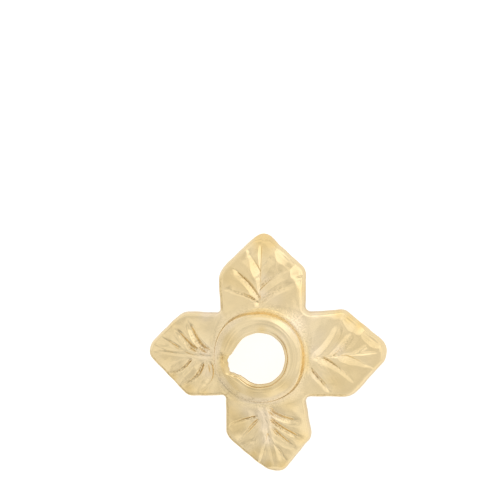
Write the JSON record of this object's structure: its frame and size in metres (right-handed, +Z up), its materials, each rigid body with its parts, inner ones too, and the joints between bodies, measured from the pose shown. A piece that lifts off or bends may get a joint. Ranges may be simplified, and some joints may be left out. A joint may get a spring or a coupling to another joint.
{
  "type": "bead cap",
  "caption": "Cast metal bead cap of veined leaves spread round a raised, hollow hub with a round thread hole.",
  "frame": {"origin": "on the axis of the thread hole, level with the undersides of the leaf tips that the cap rests on; the outline's box is centred there within 0.11 mm", "axes": "+Z up along the thread hole's axis, out of the hub; +X along one leaf and +Y along the next, counter-clockwise seen from above"},
  "size_m": [0.014, 0.0139, 0.0032],
  "materials": {
    "gold_plated_metal": "polished pale gold plating over cast brass, with soft casting ripple and satin in the vein grooves"
  },
  "bodies": {
    "root": {"bead_cap": "gold_plated_metal"}
  },
  "joints": []
}
